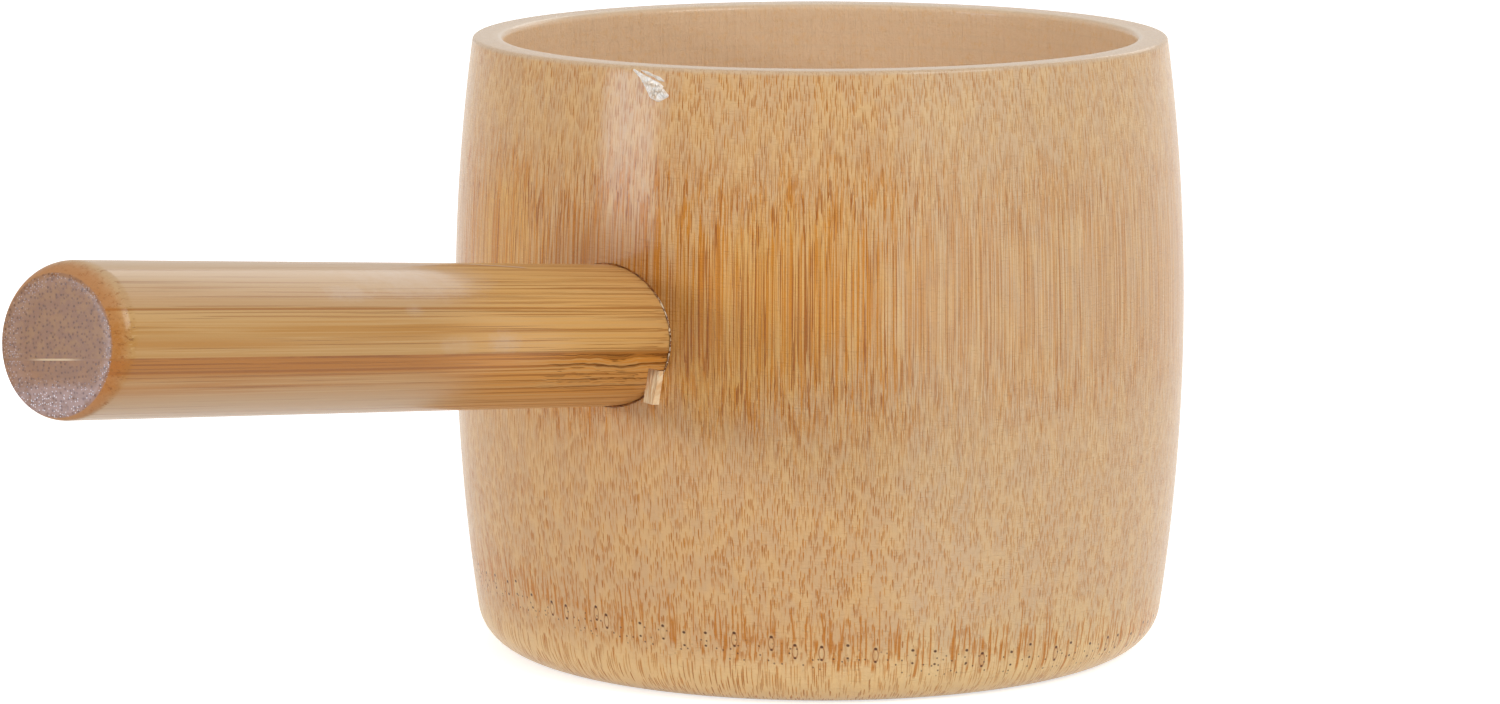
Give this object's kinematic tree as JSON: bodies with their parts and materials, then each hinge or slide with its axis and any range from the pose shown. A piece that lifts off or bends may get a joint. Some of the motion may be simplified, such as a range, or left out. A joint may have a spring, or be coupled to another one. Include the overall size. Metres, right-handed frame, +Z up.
{
  "type": "water dipper",
  "caption": "Bamboo water dipper: a barrel-shaped cup turned from one culm section with its own node as floor, and a straight round handle glued and wedged through the wall.",
  "frame": {"origin": "on the ground under the cup, where the cup's axis meets the plane of the flat ring it stands on", "axes": "+Z up along the cup's axis; the handle points to -Y and slopes upwards by 7 degrees; +X is to the right of someone who faces the handle's end"},
  "size_m": [0.108, 0.2252, 0.0905],
  "materials": {
    "bamboo_cup": "turned bamboo, clear satin lacquer",
    "bamboo_handle": "turned bamboo, clear satin lacquer",
    "bamboo_handle_lower": "turned bamboo, clear satin lacquer",
    "ply_glue": "hard pale glue line",
    "socket_glue": "hard clear glue, amber",
    "bamboo_sliver": "split bamboo, bare"
  },
  "bodies": {
    "root": {"cup": "bamboo_cup", "handle_upper_ply": "bamboo_handle", "handle_lower_ply": "bamboo_handle_lower", "handle_glue_line": "ply_glue", "socket_glue": "socket_glue", "socket_wedge": "bamboo_sliver"}
  },
  "joints": []
}
